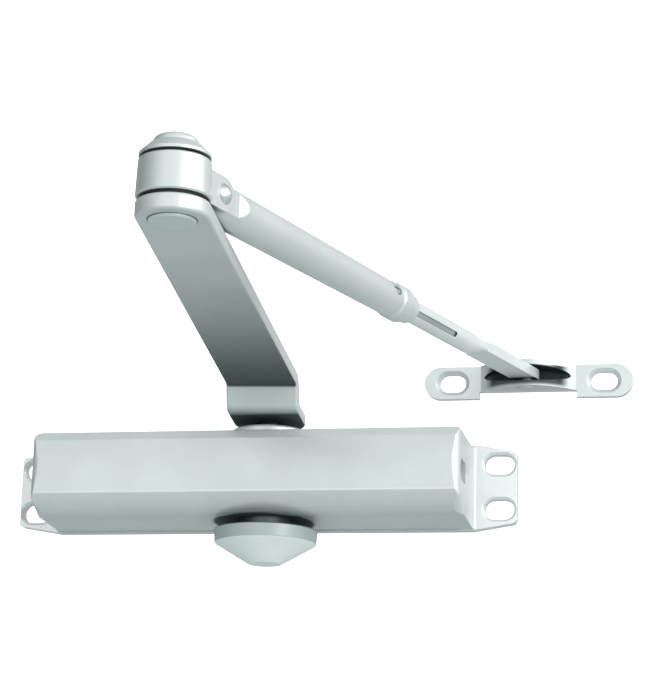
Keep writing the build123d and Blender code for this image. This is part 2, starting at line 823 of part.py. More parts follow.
# Main arm: one bar bent up from its hub, narrowing to the elbow
riser_foot = (arm_riser_start + arm_thickness, arm_hub_bottom)
riser_head = (arm_riser_start + arm_thickness + arm_riser_run, arm_underside)
riser_step = (arm_riser_start, arm_hub_top)
riser_brow = (arm_riser_start + arm_riser_run, arm_top)
with BuildPart() as main_arm:
    with BuildSketch(arm_side):
        with BuildLine():
            FilletPolyline(
                (-arm_hub_radius, arm_hub_bottom),
                riser_foot,
                riser_head,
                (arm_length + arm_elbow_radius, arm_underside),
                radius=[arm_outer_bend, arm_inner_bend],
            )
            FilletPolyline(
                (arm_length + arm_elbow_radius, arm_top),
                riser_brow,
                riser_step,
                (-arm_hub_radius, arm_hub_top),
                radius=[arm_brow_bend, arm_inner_bend],
            )
            Line((arm_length + arm_elbow_radius, arm_underside), (arm_length + arm_elbow_radius, arm_top))
            Line((-arm_hub_radius, arm_hub_top), (-arm_hub_radius, arm_hub_bottom))
        make_face()
    extrude(amount=arm_hub_radius, both=True)
    with BuildSketch(arm_plan.offset(arm_hub_bottom)):
        Circle(arm_hub_radius)
        with Locations((arm_length, 0)):
            Circle(arm_elbow_radius)
        make_hull()
    extrude(amount=arm_top - arm_hub_bottom, mode=Mode.INTERSECT)
    fillet(main_arm.edges(), radius=arm_edge)
    with BuildSketch(arm_plan.offset(arm_hub_bottom)):
        hub_square = spindle_square + 2 * arm_square_clearance
        Rectangle(hub_square, hub_square)
    extrude(amount=arm_hub_thickness, mode=Mode.SUBTRACT)
    with BuildSketch(arm_plan.offset(arm_underside)):
        with Locations((arm_length, 0)):
            Circle(elbow_stud_radius + thread_clearance)
    extrude(amount=arm_thickness, mode=Mode.SUBTRACT)
main_arm.part.label = "main_arm"
export_step(main_arm.part, "parts/main_arm.step")

# Washer and hexagon screw that hold the arm on the spindle
with BuildPart() as arm_washer:
    with BuildSketch(arm_plan.offset(arm_hub_top)):
        Circle(arm_washer_radius)
        Circle(arm_screw_radius + arm_screw_hole_clearance, mode=Mode.SUBTRACT)
    extrude(amount=arm_washer_thickness)
arm_washer.part.label = "arm_washer"
export_step(arm_washer.part, "parts/arm_washer.step")

with BuildPart() as arm_screw:
    with BuildSketch(arm_plan.offset(arm_hub_top + arm_washer_thickness)):
        RegularPolygon(arm_screw_head_flat / 2, 6, major_radius=False)
    extrude(amount=arm_screw_head_height)
    with BuildSketch(arm_plan.offset(arm_hub_top + arm_washer_thickness)):
        Circle(arm_screw_radius)
    extrude(amount=-arm_screw_length)
arm_screw.part.label = "arm_screw"
export_step(arm_screw.part, "parts/arm_screw.step")

# Elbow: stud riveted into the arm, its washer, the conical cap and the swivelling knuckle
stud_foot = arm_underside - elbow_foot_thickness
button_top = elbow_cap_top + button_height
with BuildPart() as elbow_stud:
    with BuildSketch(elbow_side):
        with BuildLine():
            Polyline(
                (0, button_top),
                (0, stud_foot),
                (elbow_foot_radius - edge_break, stud_foot),
                (elbow_foot_radius, stud_foot + edge_break),
                (elbow_foot_radius, arm_underside),
                (elbow_stud_radius, arm_underside),
                (elbow_stud_radius, elbow_cap_top),
                (button_radius, elbow_cap_top),
                (button_radius, button_top - button_round),
            )
            RadiusArc(
                (button_radius, button_top - button_round),
                (button_radius - button_round, button_top),
                -button_round,
            )
            Line((button_radius - button_round, button_top), (0, button_top))
        make_face()
    revolve(axis=elbow_axis)
elbow_stud.part.label = "elbow_stud"
export_step(elbow_stud.part, "parts/elbow_stud.step")

with BuildPart() as elbow_washer:
    with BuildSketch(Plane.XY.offset(arm_top)):
        with Locations((elbow_x, elbow_y)):
            Circle(elbow_washer_radius)
            Circle(elbow_stud_radius + elbow_stud_clearance, mode=Mode.SUBTRACT)
    extrude(amount=elbow_washer_thickness)
elbow_washer.part.label = "elbow_washer"
export_step(elbow_washer.part, "parts/elbow_washer.step")

with BuildPart() as elbow_cap:
    with BuildSketch(elbow_side):
        with BuildLine():
            Polyline(
                (elbow_stud_radius + thread_clearance, knuckle_top + knuckle_gap),
                (cap_seat_radius, knuckle_top + knuckle_gap),
                (cap_seat_radius, elbow_cap_bottom),
                (elbow_cap_radius, elbow_cap_bottom),
                (elbow_cap_radius, elbow_cap_bottom + elbow_cap_rim),
                (elbow_cap_top_radius, elbow_cap_top),
                (elbow_stud_radius + thread_clearance, elbow_cap_top),
                close=True,
            )
        make_face()
    revolve(axis=elbow_axis)
elbow_cap.part.label = "elbow_cap"
export_step(elbow_cap.part, "parts/elbow_cap.step")

pin_place = (
    elbow_x + tilt_pin_reach * forearm_dir[0],
    elbow_y + tilt_pin_reach * forearm_dir[1],
    forearm_height,
)
pin_dir = (forearm_dir[1], -forearm_dir[0], 0)
pin_plane = Plane(origin=pin_place, x_dir=(*forearm_dir, 0), z_dir=pin_dir)
clevis_end = tilt_pin_reach + cheek_radius
with BuildPart() as elbow_knuckle:
    # cheeks for the sleeve, flared into the drum in plan and rounded about the pin in side view
    with BuildSketch(forearm_plan):
        Circle(knuckle_top_radius)
        with Locations((clevis_end / 2, 0)):
            Rectangle(clevis_end, 2 * cheek_offset)
        fillet(
            [v for v in vertices() if abs(hypot(v.X, v.Y) - knuckle_top_radius) < pick_tolerance],
            radius=cheek_blend,
        )
    extrude(amount=cheek_radius, both=True)
    with BuildSketch(forearm_side):
        with Locations((tilt_pin_reach, 0)):
            Circle(cheek_radius)
        with Locations(((tilt_pin_reach - knuckle_radius) / 2, 0)):
            Rectangle(tilt_pin_reach + knuckle_radius, 2 * cheek_radius)
    extrude(amount=knuckle_radius, both=True, mode=Mode.INTERSECT)
    with BuildSketch(elbow_side):
        with BuildLine():
            Polyline(
                (0, knuckle_bottom),
                (knuckle_radius - edge_break, knuckle_bottom),
                (knuckle_radius, knuckle_bottom + edge_break),
                (knuckle_top_radius, knuckle_top - edge_break),
                (knuckle_top_radius - edge_break, knuckle_top),
                (0, knuckle_top),
                close=True,
            )
        make_face()
    revolve(axis=elbow_axis)
    with BuildSketch(forearm_side):
        with Locations(((clevis_slot_start + clevis_end) / 2, 0)):
            Rectangle(clevis_end - clevis_slot_start, knuckle_height)
    extrude(amount=sleeve_flat_offset + tongue_clearance, both=True, mode=Mode.SUBTRACT)
    with BuildSketch(pin_plane):
        Circle(tilt_pin_radius + thread_clearance)
    extrude(amount=cheek_offset, both=True, mode=Mode.SUBTRACT)
    with BuildSketch(Plane.XY.offset(knuckle_bottom)):
        with Locations((elbow_x, elbow_y)):
            Circle(elbow_stud_radius + elbow_stud_clearance)
    extrude(amount=knuckle_height, mode=Mode.SUBTRACT)
elbow_knuckle.part.label = "elbow_knuckle"
export_step(elbow_knuckle.part, "parts/elbow_knuckle.step")

# Tilting pin: domed head towards the front, a riveted end behind
with BuildPart() as tilt_pin:
    with BuildSketch(
        Plane(origin=pin_place, x_dir=pin_dir, z_dir=(-forearm_dir[0], -forearm_dir[1], 0))
    ):
        with BuildLine():
            Polyline(
                (cheek_offset + tilt_pin_head_height, 0),
                (-cheek_offset - tilt_pin_rivet_height, 0),
                (-cheek_offset - tilt_pin_rivet_height, tilt_pin_radius),
                (-cheek_offset, tilt_pin_radius + tilt_pin_rivet_flare),
                (-cheek_offset, tilt_pin_radius),
                (cheek_offset, tilt_pin_radius),
                (cheek_offset, tilt_pin_head_radius),
            )
            TangentArc(
                (cheek_offset + tilt_pin_head_height, 0),
                (cheek_offset, tilt_pin_head_radius),
                tangent=(0, 1),
            )
        make_face()
    revolve(axis=Axis(pin_place, pin_dir))
tilt_pin.part.label = "tilt_pin"
export_step(tilt_pin.part, "parts/tilt_pin.step")

# Forearm sleeve: flattened nose between the cheeks, tube with a lip and a collar
sleeve_nose = tilt_pin_reach - sleeve_root_radius
lip_start = sleeve_end - sleeve_lip_length
lock_screw_reach = lip_start - sleeve_lip_taper - lock_screw_from_lip
with BuildPart() as forearm_sleeve:
    with BuildSketch(forearm_side):
        with BuildLine():
            Polyline(
                (sleeve_nose, 0),
                (sleeve_nose, sleeve_root_radius),
                (tilt_pin_reach, sleeve_root_radius),
                (lip_start - sleeve_lip_taper, sleeve_radius),
                (lip_start, sleeve_lip_radius),
                (sleeve_end - sleeve_end_round, sleeve_lip_radius),
                (sleeve_end, sleeve_lip_radius - sleeve_end_round / 2),
                (sleeve_end, sleeve_collar_radius),
                (sleeve_end + sleeve_collar_length, sleeve_collar_radius),
                (sleeve_end + sleeve_collar_length, 0),
                close=True,
            )
        make_face()
    revolve(axis=forearm_axis)
    # nose rounded about the tilting pin
    with BuildSketch(forearm_side):
        with Locations((tilt_pin_reach - sleeve_root_radius, 0)):
            Rectangle(2 * sleeve_root_radius, 4 * sleeve_root_radius)
        with Locations((tilt_pin_reach, 0)):
            Circle(sleeve_root_radius, mode=Mode.SUBTRACT)
    extrude(amount=2 * sleeve_root_radius, both=True, mode=Mode.SUBTRACT)
    # two flats beside the cheeks, which run out on a slant
    with BuildSketch(forearm_plan):
        for side in (-1, 1):
            with BuildLine():
                Polyline(
                    (sleeve_nose - sleeve_root_radius, side * sleeve_flat_offset),
                    (sleeve_flat_end, side * sleeve_flat_offset),
                    (sleeve_flat_end + sleeve_flat_run_out, side * sleeve_root_radius),
                    (sleeve_flat_end, side * 2 * sleeve_root_radius),
                    (sleeve_nose - sleeve_root_radius, side * 2 * sleeve_root_radius),
                    close=True,
                )
            make_face()
    extrude(amount=2 * sleeve_root_radius, both=True, mode=Mode.SUBTRACT)
    with BuildSketch(pin_plane):
        Circle(tilt_pin_radius + tilt_pin_clearance)
    extrude(amount=cheek_offset, both=True, mode=Mode.SUBTRACT)
    with BuildSketch(forearm_cross(sleeve_bore_start)):
        Circle(rod_radius + rod_clearance)
    extrude(amount=sleeve_end + sleeve_collar_length - sleeve_bore_start, mode=Mode.SUBTRACT)
    with BuildSketch(lock_screw_side):
        with Locations((lock_screw_reach, 0)):
            Circle(lock_screw_radius + thread_clearance)
    extrude(amount=sleeve_radius, mode=Mode.SUBTRACT)
    # sunk seat under the head of the lock screw
    with BuildSketch(lock_screw_side.offset(lock_screw_seat)):
        with Locations((lock_screw_reach, 0)):
            Circle(lock_screw_head_radius + lock_screw_seat_margin)
    extrude(amount=sleeve_radius, mode=Mode.SUBTRACT)
forearm_sleeve.part.label = "forearm_sleeve"
export_step(forearm_sleeve.part, "parts/forearm_sleeve.step")

# Screw that clamps the rod in the sleeve
with BuildPart() as lock_screw:
    for start, length, radius in (
        (rod_radius + rod_clearance, lock_screw_seat - rod_radius - rod_clearance, lock_screw_radius),
        (lock_screw_seat, lock_screw_head_height, lock_screw_head_radius),
    ):
        with BuildSketch(lock_screw_side.offset(start)):
            with Locations((lock_screw_reach, 0)):
                Circle(radius)
        extrude(amount=length)
    with BuildSketch(lock_screw_side.offset(lock_screw_seat + lock_screw_head_height)):
        with Locations((lock_screw_reach, 0)):
            Rectangle(2 * lock_screw_head_radius, lock_screw_slot)
    extrude(amount=-lock_screw_slot, mode=Mode.SUBTRACT)
lock_screw.part.label = "lock_screw"
export_step(lock_screw.part, "parts/lock_screw.step")

# Adjusting rod: round bar with a long groove, flattened into an eye for the foot
rod_start = sleeve_end - rod_overlap
paddle_start = rod_reach - rod_paddle_from_pivot
with BuildPart() as adjusting_rod:
    with BuildSketch(forearm_cross(rod_start)):
        Circle(rod_radius)
    extrude(amount=paddle_start - rod_blend_length - rod_start)
    with BuildSketch(forearm_cross(paddle_start - rod_blend_length)):
        Circle(rod_radius)
    with BuildSketch(forearm_cross(paddle_start)):
        RectangleRounded(rod_paddle_width, rod_paddle_thickness, rod_paddle_edge)
    loft()
    with BuildSketch(forearm_plan.offset(-rod_paddle_thickness / 2)):
        with Locations(((paddle_start + rod_reach) / 2, 0)):
            Rectangle(rod_reach - paddle_start, rod_paddle_width)
        with Locations((rod_reach, 0)):
            Circle(rod_paddle_width / 2)
            Circle(foot_rivet_radius + foot_rivet_clearance, mode=Mode.SUBTRACT)
    extrude(amount=rod_paddle_thickness)
    # groove that runs on under the sleeve, on the side turned down and to the front
    groove_end = sleeve_end + sleeve_collar_length + rod_groove_reach
    with BuildSketch(rod_groove_side.offset(rod_radius - rod_groove_depth)):
        with Locations((groove_end - rod_groove_length / 2, 0)):
            SlotOverall(rod_groove_length, rod_groove_width)
    extrude(amount=rod_radius, mode=Mode.SUBTRACT)
adjusting_rod.part.label = "adjusting_rod"
export_step(adjusting_rod.part, "parts/adjusting_rod.step")

# Foot bracket: two slotted ears on the frame face and a forked bar around the rod's eye
ear_height = forearm_height - foot_ear_drop
foot_bar_base = forearm_height - foot_bar_height / 2
foot_bar_top = foot_bar_base + foot_bar_height
with BuildPart() as foot_bracket:
    with BuildSketch(Plane.XZ):
        with Locations((foot_pivot_x, ear_height)):
            SlotOverall(2 * foot_ear_reach, foot_ear_height)
        # the plate is no taller than the bar between its two ears
        for edge, side in ((foot_bar_base, -1), (foot_bar_top, 1)):
            with Locations((foot_pivot_x, edge + side * foot_ear_height / 2)):
                Rectangle(2 * foot_bar_half, foot_ear_height, mode=Mode.SUBTRACT)
    extrude(amount=foot_ear_thickness)
    with BuildSketch(Plane.XY.offset(foot_bar_base)):
        with BuildLine():
            Polyline(
                (foot_pivot_x, 0),
                (foot_pivot_x - foot_bar_half, 0),
                (foot_pivot_x - foot_bar_half, -foot_web),
            )
            Spline(
                (foot_pivot_x - foot_bar_half, -foot_web),
                (foot_pivot_x - foot_lip_half, -foot_lip_reach + foot_lip_nose),
                (foot_pivot_x, -foot_lip_reach),
                tangents=(foot_lip_slope, (1, 0)),
            )
            Line((foot_pivot_x, -foot_lip_reach), (foot_pivot_x, 0))
        make_face()
        mirror(about=Plane(origin=(foot_pivot_x, 0, 0), z_dir=(1, 0, 0)))
    extrude(amount=foot_bar_height)
    # mouth between the two lips, closing towards both ears
    with BuildSketch(Plane.XZ.offset(foot_web)):
        with Locations((foot_pivot_x, forearm_height)):
            Ellipse(foot_mouth_half, foot_mouth_height / 2)
    extrude(amount=foot_lip_reach, mode=Mode.SUBTRACT)
    with BuildSketch(Plane.XY.offset(foot_bar_base)):
        with Locations((foot_pivot_x, foot_pivot_y)):
            Circle(foot_rivet_radius + thread_clearance)
    extrude(amount=foot_bar_height, mode=Mode.SUBTRACT)
    with BuildSketch(Plane.XZ):
        with Locations((foot_pivot_x, ear_height)):
            with GridLocations(foot_slot_pitch, 0, 2, 1):
                SlotOverall(foot_slot_length, foot_slot_width)
    extrude(amount=foot_ear_thickness, mode=Mode.SUBTRACT)
    foot_rims = [
        e
        for e in foot_bracket.edges().filter_by_position(
            Axis.Y, -foot_ear_thickness - pick_tolerance, -foot_ear_thickness + pick_tolerance
        )
        if abs(abs(e.center().X - foot_pivot_x) - foot_slot_pitch / 2) < foot_slot_length / 2
        and abs(e.center().Z - ear_height) < foot_slot_width / 2 + pick_tolerance
    ]
    chamfer(foot_rims, length=foot_slot_countersink)
foot_bracket.part.label = "foot_bracket"
export_step(foot_bracket.part, "parts/foot_bracket.step")

with BuildPart() as foot_rivet:
    for start, length, radius in (
        (foot_bar_base, foot_bar_height, foot_rivet_radius),
        (foot_bar_base, -foot_rivet_head_height, foot_rivet_head_radius),
        (foot_bar_base + foot_bar_height, foot_rivet_head_height, foot_rivet_head_radius),
    ):
        with BuildSketch(Plane.XY.offset(start)):
            with Locations((foot_pivot_x, foot_pivot_y)):
                Circle(radius)
        extrude(amount=length)
foot_rivet.part.label = "foot_rivet"
export_step(foot_rivet.part, "parts/foot_rivet.step")
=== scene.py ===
from math import cos, pi, radians, sin

import bpy
import numpy as np
from mathutils import Matrix, Vector


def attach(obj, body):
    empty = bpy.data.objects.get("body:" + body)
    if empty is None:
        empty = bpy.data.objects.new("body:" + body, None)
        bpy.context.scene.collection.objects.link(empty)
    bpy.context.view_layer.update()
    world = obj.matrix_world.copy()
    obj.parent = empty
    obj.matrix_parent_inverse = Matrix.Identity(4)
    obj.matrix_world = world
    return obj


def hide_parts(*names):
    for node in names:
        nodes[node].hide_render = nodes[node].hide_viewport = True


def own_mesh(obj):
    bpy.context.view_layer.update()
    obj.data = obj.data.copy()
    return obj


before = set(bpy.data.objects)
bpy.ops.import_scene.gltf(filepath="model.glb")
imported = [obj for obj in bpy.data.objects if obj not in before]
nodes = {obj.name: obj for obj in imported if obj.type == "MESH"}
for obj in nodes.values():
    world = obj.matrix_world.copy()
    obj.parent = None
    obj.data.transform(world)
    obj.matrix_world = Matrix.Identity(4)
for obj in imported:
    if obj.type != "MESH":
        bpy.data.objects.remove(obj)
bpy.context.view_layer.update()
mm = 0.001


# The view and the studio.
# A long lens looks up at the closer from below, a little from its right, as the photograph does.
# The light is a bright room with three soft lamps, the strongest at the front right, and a pale
# floor below.
class Wire:
    """One output of a shader node. Arithmetic on wires adds Math nodes to their tree."""

    def __init__(self, tree, socket):
        self.tree = tree
        self.socket = socket

    def node(self, kind, settings=None, sockets=None, output=0):
        """Adds a node: first its settings, then the values or wires of its sockets."""
        made = self.tree.nodes.new(kind)
        for name, value in (settings or {}).items():
            setattr(made, name, value)
        for name, value in (sockets or {}).items():
            if isinstance(value, Wire):
                self.tree.links.new(value.socket, made.inputs[name])
            else:
                made.inputs[name].default_value = value
        return Wire(self.tree, made.outputs[output]) if made.outputs else None

    def math(self, operation, first, second=0.0):
        return self.node("ShaderNodeMath", {"operation": operation}, {0: first, 1: second})

    def vector(self, operation, other, output=0):
        sockets = {0: self, 1: other}
        return self.node("ShaderNodeVectorMath", {"operation": operation}, sockets, output)

    def __add__(self, other):
        return self.math("ADD", self, other)

    def __radd__(self, other):
        return self.math("ADD", other, self)

    def __sub__(self, other):
        return self.math("SUBTRACT", self, other)

    def __rsub__(self, other):
        return self.math("SUBTRACT", other, self)

    def __mul__(self, other):
        return self.math("MULTIPLY", self, other)

    def __rmul__(self, other):
        return self.math("MULTIPLY", other, self)

    def sine(self):
        return self.math("SINE", self)

    def unsigned(self):
        return self.math("ABSOLUTE", self)

    def most(self, other):
        """The greater of two values, place by place."""
        return self.math("MAXIMUM", self, other)

    def along(self, direction):
        """How far a place is along a direction, in metres, or how far a normal agrees with it."""
        return self.vector("DOT_PRODUCT", direction, output=1)

    def away(self, point, direction):
        """How far a place is from the line through a point along a direction, in metres."""
        across = self.vector("SUBTRACT", point).vector("CROSS_PRODUCT", direction)
        return self.node("ShaderNodeVectorMath", {"operation": "LENGTH"}, {0: across}, output=1)

    def cloud(self, grain, detail=2.0):
        """Soft random values between 0 and 1, with features about a grain (in mm) across."""
        sockets = {"Vector": self, "Scale": 1 / (grain * mm), "Detail": detail}
        return self.node("ShaderNodeTexNoise", None, sockets)

    def spread(self, low, high):
        """Stretches the values between low and high to the whole range from 0 to 1, gently."""
        settings = {"interpolation_type": "SMOOTHSTEP"}
        sockets = {"Value": self, "From Min": low, "From Max": high}
        return self.node("ShaderNodeMapRange", settings, sockets)

    def mix(self, first, second):
        """A colour that goes from the first to the second as this value goes from 0 to 1."""
        sockets = {0: self, 6: first, 7: second}
        return self.node("ShaderNodeMix", {"data_type": "RGBA"}, sockets, output=2)


def tone(red, green, blue, light=1.0):
    """A colour for a shader socket, made lighter or darker as a whole."""
    return (red * light, green * light, blue * light, 1.0)


def lamp(name, place, aim, size, watts, tint):
    """A square soft lamp that faces a point."""
    light = bpy.data.lights.new(name, "AREA")
    light.size = size
    light.energy = watts
    light.color = tint
    holder = bpy.data.objects.new(name, light)
    holder.location = place
    holder.rotation_euler = (Vector(aim) - Vector(place)).to_track_quat("-Z", "Y").to_euler()
    bpy.context.scene.collection.objects.link(holder)


view_turn = radians(11.79)
view_rise = radians(14.58)
view_roll = radians(1.68)
view_target = Vector((0.0269, -0.020, 0.0567))
view_distance = 0.9312
focal_pixels = 2200
picture_width = 645
sensor = 36.0

backward = Vector((
    sin(view_turn) * cos(view_rise),
    -cos(view_turn) * cos(view_rise),
    -sin(view_rise),
))
level_right = Vector((cos(view_turn), sin(view_turn), 0))
level_up = Vector((
    sin(view_turn) * sin(view_rise),
    -cos(view_turn) * sin(view_rise),
    cos(view_rise),
))
right = cos(view_roll) * level_right + sin(view_roll) * level_up
up = -sin(view_roll) * level_right + cos(view_roll) * level_up

lens = bpy.data.cameras.new("view")
lens.sensor_fit = "HORIZONTAL"
lens.sensor_width = sensor
lens.lens = focal_pixels / picture_width * sensor
camera = bpy.data.objects.new("view", lens)
turned_view = Matrix((right, up, backward)).transposed().to_4x4()
camera.matrix_world = Matrix.Translation(view_target + view_distance * backward) @ turned_view
bpy.context.scene.collection.objects.link(camera)
bpy.context.scene.camera = camera
bpy.context.scene.view_settings.view_transform = "Standard"

right_of_middle = (0.05, -0.10, 0.0)
lamp("key", (1.28, -1.14, 0.15), right_of_middle, 0.8, 9.0, (1.0, 1.0, 0.99))
lamp("front", (-0.30, -1.60, 0.02), (0.0, -0.10, 0.0), 0.9, 1.5, (0.98, 1.0, 1.0))
lamp("side", (1.45, -0.10, 0.75), right_of_middle, 0.8, 5.0, (1.0, 1.0, 1.0))

world = bpy.data.worlds.new("bright room")
bpy.context.scene.world = world
world.use_nodes = True
sky = world.node_tree
sky.nodes.clear()
seen_wall = Wire(sky, sky.nodes.new("ShaderNodeLightPath").outputs["Is Camera Ray"])
outlook = Wire(sky, sky.nodes.new("ShaderNodeTexCoord").outputs["Generated"])
window_side = Vector((0.55, -0.82, 0.12)).normalized()
backdrop_side = (0.0, 0.96, 0.28)
wall_brightness = 1.60
daylight = outlook.along(window_side).spread(-0.75, 1.0)
backdrop = outlook.along(backdrop_side).spread(0.35, 1.0)
room_light = 0.11 + daylight * 1.01 + backdrop * 0.45
room_light = room_light * (1 - seen_wall) + seen_wall * wall_brightness
room_tint = (daylight + backdrop).mix(tone(0.84, 1.0, 0.985), tone(1.0, 1.0, 1.0))
room = seen_wall.node("ShaderNodeBackground", None, {"Color": room_tint, "Strength": room_light})
room.node("ShaderNodeOutputWorld", None, {"Surface": room})

floor_height = -0.95
floor_reach = 6.0
floor_mesh = bpy.data.meshes.new("floor")
floor_mesh.from_pydata(
    [
        (-floor_reach, -floor_reach, floor_height),
        (floor_reach, -floor_reach, floor_height),
        (floor_reach, floor_reach, floor_height),
        (-floor_reach, floor_reach, floor_height),
    ],
    [],
    [(0, 1, 2, 3)],
)
floor = bpy.data.objects.new("floor", floor_mesh)
bpy.context.scene.collection.objects.link(floor)


def finish(name):
    """An empty material, as its shader and a wire with the surface's own place in metres."""
    material = bpy.data.materials.new(name)
    material.use_nodes = True
    tree = material.node_tree
    tree.nodes.clear()
    shader = tree.nodes.new("ShaderNodeBsdfPrincipled")
    output = tree.nodes.new("ShaderNodeOutputMaterial")
    tree.links.new(shader.outputs[0], output.inputs["Surface"])
    place = Wire(tree, tree.nodes.new("ShaderNodeTexCoord").outputs["Object"])
    return material, shader, place


def apply(shader, **sockets):
    """Sets the shader's sockets, named with _ for a space, to values or wires."""
    for name, value in sockets.items():
        socket = shader.inputs[name.replace("_", " ")]
        if isinstance(value, Wire):
            value.tree.links.new(value.socket, socket)
        else:
            socket.default_value = value


floor_finish, shader, place = finish("floor_paint")
shade = place.cloud(180.0).mix(tone(0.62, 0.68, 0.68), tone(0.66, 0.72, 0.72))
apply(shader, Base_Color=shade, Roughness=0.7)
floor.data.materials.append(floor_finish)


# The casting of the body.
# It is die-cast aluminium with a silver paint that is sprayed on and baked, so its skin has a
# fine orange peel over a slightly uneven casting. The paint is thinner along the edges, and the
# edges are also painted lighter as a painted highlight.
def rounded_normal(place, radius):
    """The normal as if each edge were rounded to a radius in mm."""
    return place.node("ShaderNodeBevel", {"samples": 6}, {"Radius": radius * mm})


def hollow(place, reach, start, full):
    """How deep in a hollow a place is: 0 where the share of the sky that is closed within a reach
    in mm is below the start, and 1 where it is full."""
    sockets = {"Distance": reach * mm}
    open_sky = place.node("ShaderNodeAmbientOcclusion", {"samples": 8}, sockets, output=1)
    return (1 - open_sky).spread(start, full)


def bump(place, height, depth, **normal):
    """A normal that follows a height, where a height of 1 stands out by a depth in mm."""
    return place.node("ShaderNodeBump", None, {"Height": height, "Distance": depth * mm, **normal})


def painted(name, tint, metal, dull, peel, edge_round, shade, patch=None):
    """Silver paint: base, flakes and peel from clouds, edges from the rounded normal. Along the
    edges the colour is painted lighter as a painted highlight. The hollows get painted shade: the
    shade is how far in mm a hollow reaches, how closed it is where it starts to darken, and how
    dark it gets.
    A patch gives a mask with its colour, height and roughness, laid over the rest, and how much of
    the hollows' painted shade it takes away."""
    material, shader, place = finish(name)
    rounded = rounded_normal(place, edge_round)
    agreement = rounded.along(place.node("ShaderNodeNewGeometry", output=1))
    edge = (1 - agreement).spread(0.0, 0.06)
    reach, start, dark = shade
    shadow = hollow(place, reach, start, 0.9) * dark
    flakes = place.cloud(0.12, 1.0).spread(0.35, 0.65)
    drift = place.cloud(26.0, 3.0).spread(0.3, 0.7)
    base = drift.mix(tone(*tint, 0.97), tone(*tint, 1.03))
    base = (flakes * 0.10).mix(base, tone(*tint, 1.25))
    # Painted highlight: the edges are made lighter.
    base = (edge * 0.7).mix(base, tone(*tint, 1.4))
    height = place.cloud(0.9, 2.0) * peel + place.cloud(7.0, 2.0) * (6 * peel)
    rough = dull + place.cloud(9.0, 4.0) * 0.08 - edge * 0.05
    if patch:
        mask, colour, relief, dull_there, lift = patch(place)
        base = mask.mix(base, colour)
        height = height + mask * relief
        rough = rough + mask * (dull_there - rough)
        shadow = shadow * (1 - lift)
    # Painted shade: the hollows are made darker.
    base = shadow.mix(base, tone(0.03, 0.06, 0.057))
    bumped = bump(place, height, 0.02, Normal=rounded)
    apply(shader, Base_Color=base, Metallic=metal, Roughness=rough, Normal=bumped)
    return material


def dress(material, *names):
    """Gives CAD nodes a finish."""
    for name in names:
        nodes[name].material_slots[0].material = material


upright = (0.0, 0.0, 1.0)
box_end = 90.0 * mm
front_face = -48.0 * mm
crease_height = -8.8 * mm
underside = -16.5 * mm
# The centre of the cap's painted shadow under the body.
shadow_centre = (3.9 * mm, -18.9 * mm, 0.0)


def ground_back_and_painted_light(place):
    """The lugs beyond the ends of the box, painted lighter as painted light, the back, which is
    ground flat lengthwise, and a thin line along the crease of the front, a painted highlight. The
    underside has a painted shadow of the cap, a little behind its axis, and in the right end, with
    its recess, the hollows' painted shade is weaker."""
    along = place.along((1, 0, 0))
    depth = place.along((0, 1, 0))
    level = place.along(upright)
    # Painted light: lighter lugs, a highlight on the crease and the cap's shadow on the underside.
    lugs = along.unsigned().spread(box_end, box_end + 1.2 * mm)
    back = depth.spread(-0.30 * mm, -0.10 * mm)
    line = (level - crease_height).unsigned().spread(0.55 * mm, 0.20 * mm)
    front = depth.spread(front_face + 3.0 * mm, front_face + 1.5 * mm)
    low = level.spread(underside + 0.6 * mm, underside)
    # The cap's painted shadow on the underside.
    dust_and_shadow = place.away(shadow_centre, upright).spread(23.0 * mm, 20.0 * mm) * low
    mask = lugs.most(back).most(line * front * 0.6).most(dust_and_shadow * 0.93)
    scratches = place.vector("MULTIPLY", (0.02, 1.0, 1.0)).cloud(0.35, 3.0) * back
    colour = scratches.spread(0.35, 0.65).mix(tone(0.76, 0.80, 0.793), tone(0.85, 0.89, 0.883))
    colour = dust_and_shadow.mix(colour, tone(0.055, 0.095, 0.092))
    open_end = along.spread(83.0 * mm, 85.0 * mm) * 0.7
    relief = scratches * 1.5 + place.cloud(0.4) * 0.5
    return mask, colour, relief, dust_and_shadow * 0.7 + 0.29, open_end


silver = (0.635, 0.68, 0.673)
casting_paint = painted(
    "casting_paint", silver, metal=0.35, dull=0.34, peel=1.0, edge_round=0.55,
    shade=(4.5, 0.16, 0.86), patch=ground_back_and_painted_light,
)
dress(casting_paint, "body_casting")


# The regulating screws, in the recess of the right end.
# They are zinc plated steel with a driver's slot and turn in the casting.
def plated(name, tint, dull, edge_round, marks, lathe=None, shade=(6.0, 0.35, 0.9)):
    """Plated or bare steel: fine tool marks and blotches in its roughness and bump, and painted
    shade that darkens its hollows. A lathe, given as a point and a direction, leaves rings around
    that line."""
    material, shader, place = finish(name)
    blotch = place.cloud(3.0, 4.0).spread(0.3, 0.7)
    height = place.cloud(0.15, 2.0) * marks + blotch * 0.5
    if lathe:
        ring_pitch = 0.45 * mm
        rings = (place.away(*lathe) * (2 * pi / ring_pitch) + place.cloud(0.8) * 2.0).sine()
        height = height + rings * (0.6 * marks)
    base = blotch.mix(tone(*tint, 0.90), tone(*tint, 1.06))
    reach, start, dark = shade
    # Painted shade: the hollows are made darker.
    base = (hollow(place, reach, start, 0.95) * dark).mix(base, tone(0.02, 0.04, 0.038))
    bumped = bump(place, height, 0.01, Normal=rounded_normal(place, edge_round))
    apply(shader, Base_Color=base, Metallic=1.0, Roughness=dull + blotch * 0.12, Normal=bumped)
    return material


zinc = plated("screw_steel", (0.72, 0.75, 0.77), dull=0.26, edge_round=0.2, marks=1.0)
dress(zinc, "sweep_valve_screw", "latch_valve_screw")


